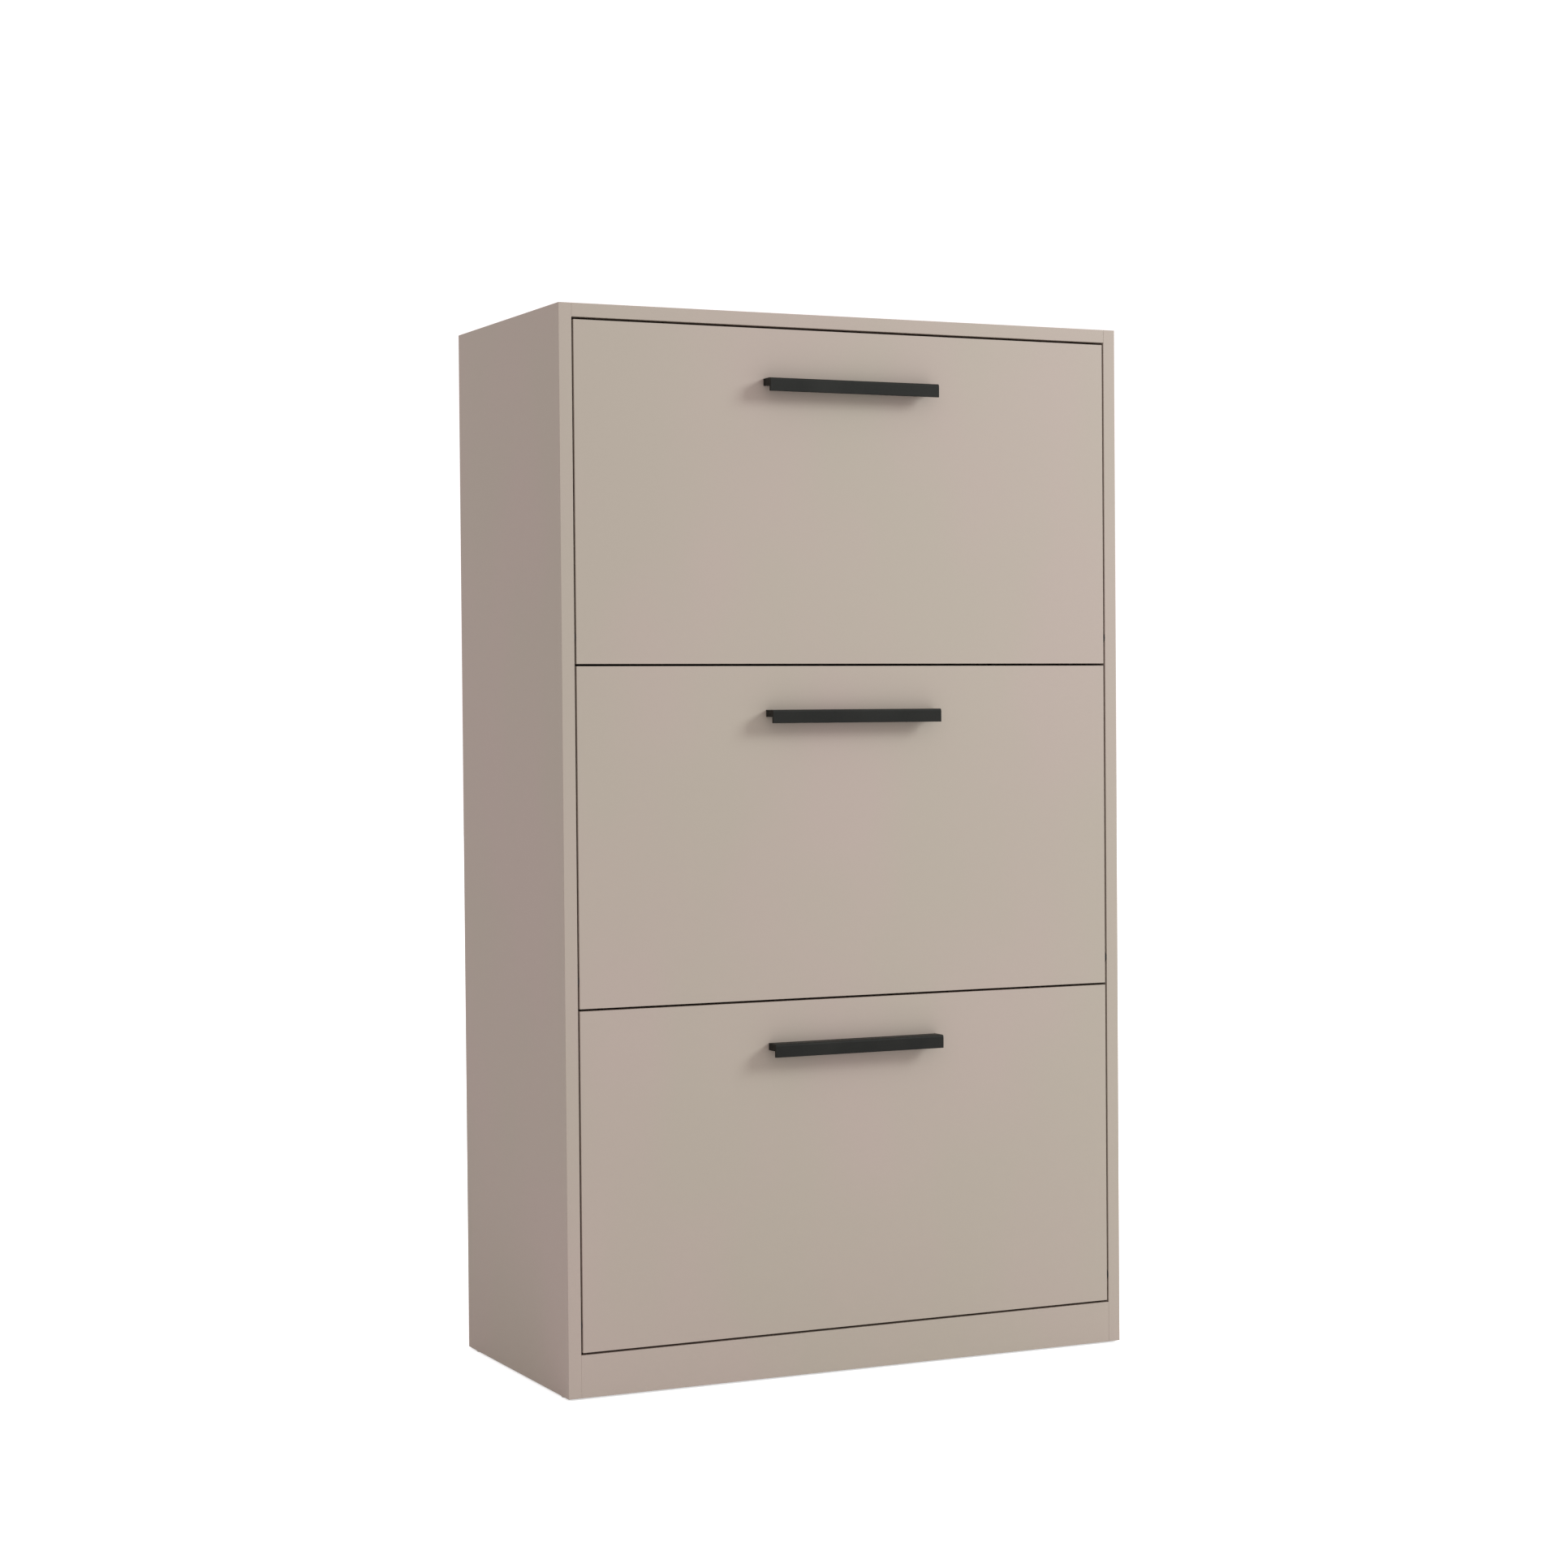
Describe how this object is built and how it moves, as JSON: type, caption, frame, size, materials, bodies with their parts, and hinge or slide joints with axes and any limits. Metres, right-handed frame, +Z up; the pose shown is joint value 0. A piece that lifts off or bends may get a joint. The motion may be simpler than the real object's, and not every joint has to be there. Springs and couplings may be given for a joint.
{
  "type": "shoe cabinet",
  "caption": "Tall freestanding shoe cabinet with inset tilt-out flaps, each carrying a two-tier sloping shoe rack, in matt taupe board with black bar handles.",
  "frame": {"origin": "centre of the whole object's box at floor level, handles included", "axes": "+Z up; the flaps and handles face -Y; +X is to the right as seen from the front"},
  "size_m": [0.7, 0.344, 1.1962],
  "materials": {
    "taupe_board": "matt melamine-faced board, warm taupe, same colour on faces and edges",
    "hardboard": "bare brown hardboard outside",
    "black_metal": "matt black powder coat",
    "black_plastic": "matt black moulded plastic",
    "zinc_steel": "zinc-plated",
    "nylon": "white nylon",
    "bumper_rubber": "soft translucent grey",
    "beech": "fluted beech dowel"
  },
  "bodies": {
    "carcass": {"side_panel_left": "taupe_board", "side_panel_right": "taupe_board", "top_panel": "taupe_board", "bottom_panel": "taupe_board", "plinth_front": "taupe_board", "plinth_rear": "taupe_board", "back_panel": "hardboard", "pivot_bushings": "black_plastic", "guide_pegs": "zinc_steel", "flap_bumpers": "bumper_rubber", "cam_bolts": "zinc_steel", "cam_discs": "zinc_steel", "wood_dowels": "beech", "back_nails": "zinc_steel", "floor_glides": "nylon", "top_rear_rail": "taupe_board", "top_stop_rail": "taupe_board", "middle_rear_rail": "taupe_board", "middle_stop_rail": "taupe_board", "bottom_rear_rail": "taupe_board", "bottom_stop_rail": "taupe_board"},
    "top_flap": {"top_flap_panel": "taupe_board", "top_flap_handle": "black_metal", "top_flap_handle_screws": "zinc_steel", "top_flap_pivot_pins": "zinc_steel", "top_flap_side_plate_left": "black_plastic", "top_flap_side_plate_right": "black_plastic", "top_flap_lower_shelf": "taupe_board", "top_flap_upper_shelf": "taupe_board", "top_flap_lower_heel_stop": "taupe_board", "top_flap_upper_heel_stop": "taupe_board", "top_flap_rack_screws": "zinc_steel"},
    "middle_flap": {"middle_flap_panel": "taupe_board", "middle_flap_handle": "black_metal", "middle_flap_handle_screws": "zinc_steel", "middle_flap_pivot_pins": "zinc_steel", "middle_flap_side_plate_left": "black_plastic", "middle_flap_side_plate_right": "black_plastic", "middle_flap_lower_shelf": "taupe_board", "middle_flap_upper_shelf": "taupe_board", "middle_flap_lower_heel_stop": "taupe_board", "middle_flap_upper_heel_stop": "taupe_board", "middle_flap_rack_screws": "zinc_steel"},
    "bottom_flap": {"bottom_flap_panel": "taupe_board", "bottom_flap_handle": "black_metal", "bottom_flap_handle_screws": "zinc_steel", "bottom_flap_pivot_pins": "zinc_steel", "bottom_flap_side_plate_left": "black_plastic", "bottom_flap_side_plate_right": "black_plastic", "bottom_flap_lower_shelf": "taupe_board", "bottom_flap_upper_shelf": "taupe_board", "bottom_flap_lower_heel_stop": "taupe_board", "bottom_flap_upper_heel_stop": "taupe_board", "bottom_flap_rack_screws": "zinc_steel"}
  },
  "joints": [
    {"name": "top_flap_tilt", "type": "hinge", "parent": "carcass", "child": "top_flap", "pos_m": [0, -0.1455, 0.8345], "axis": [1, 0, 0], "range_deg": [0, 40]},
    {"name": "middle_flap_tilt", "type": "hinge", "parent": "carcass", "child": "middle_flap", "pos_m": [0, -0.1455, 0.458], "axis": [1, 0, 0], "range_deg": [0, 40]},
    {"name": "bottom_flap_tilt", "type": "hinge", "parent": "carcass", "child": "bottom_flap", "pos_m": [0, -0.1455, 0.0815], "axis": [1, 0, 0], "range_deg": [0, 40]}
  ]
}
